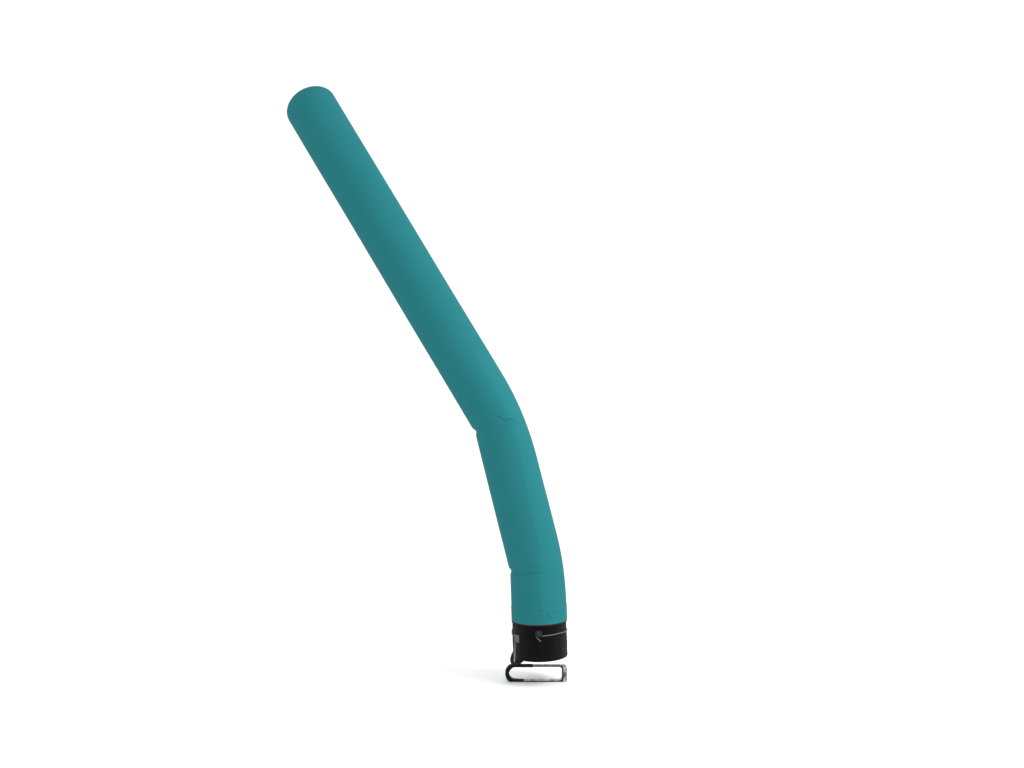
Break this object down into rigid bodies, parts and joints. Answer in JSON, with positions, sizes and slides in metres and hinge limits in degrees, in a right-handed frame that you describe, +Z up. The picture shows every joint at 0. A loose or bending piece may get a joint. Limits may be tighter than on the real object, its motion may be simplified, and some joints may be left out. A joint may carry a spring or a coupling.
{
  "type": "inflatable air dancer with its cuff hoop and floor stand",
  "caption": "Tall inflatable air dancer: a blown-up cloth tube that leans and bends, on a black cuff held by a hoop over a low steel stand.",
  "frame": {"origin": "middle of the stand's underside, on the floor", "axes": "+Z up; the tube leans to -X; -Y is the front, where the cord lock is"},
  "size_m": [2.4489, 0.4774, 5.0889],
  "materials": {
    "teal_ripstop": "matte",
    "maroon_binding": "matte",
    "black_cloth": "matte",
    "black_paint": "satin",
    "grey_cord": "matte",
    "black_plastic": "satin",
    "grey_patch": "matte",
    "pale_tape": "matte",
    "bright_metal": "polished",
    "black_webbing": "matte",
    "galvanised_steel": "galvanised",
    "black_rubber": "matte"
  },
  "bodies": {
    "root": {"air_tube": "teal_ripstop", "join_binding": "maroon_binding", "cuff": "black_cloth", "mouth_hoop": "black_paint", "drawstring": "grey_cord", "cord_end": "grey_cord", "cord_lock": "black_plastic", "grey_patch": "grey_patch", "closure_tape": "pale_tape", "tape_tip": "bright_metal", "hold_down_strap": "black_webbing", "hoop_bracket": "black_paint", "stand_band": "galvanised_steel", "end_block": "galvanised_steel", "end_sleeve": "black_rubber"}
  },
  "joints": []
}
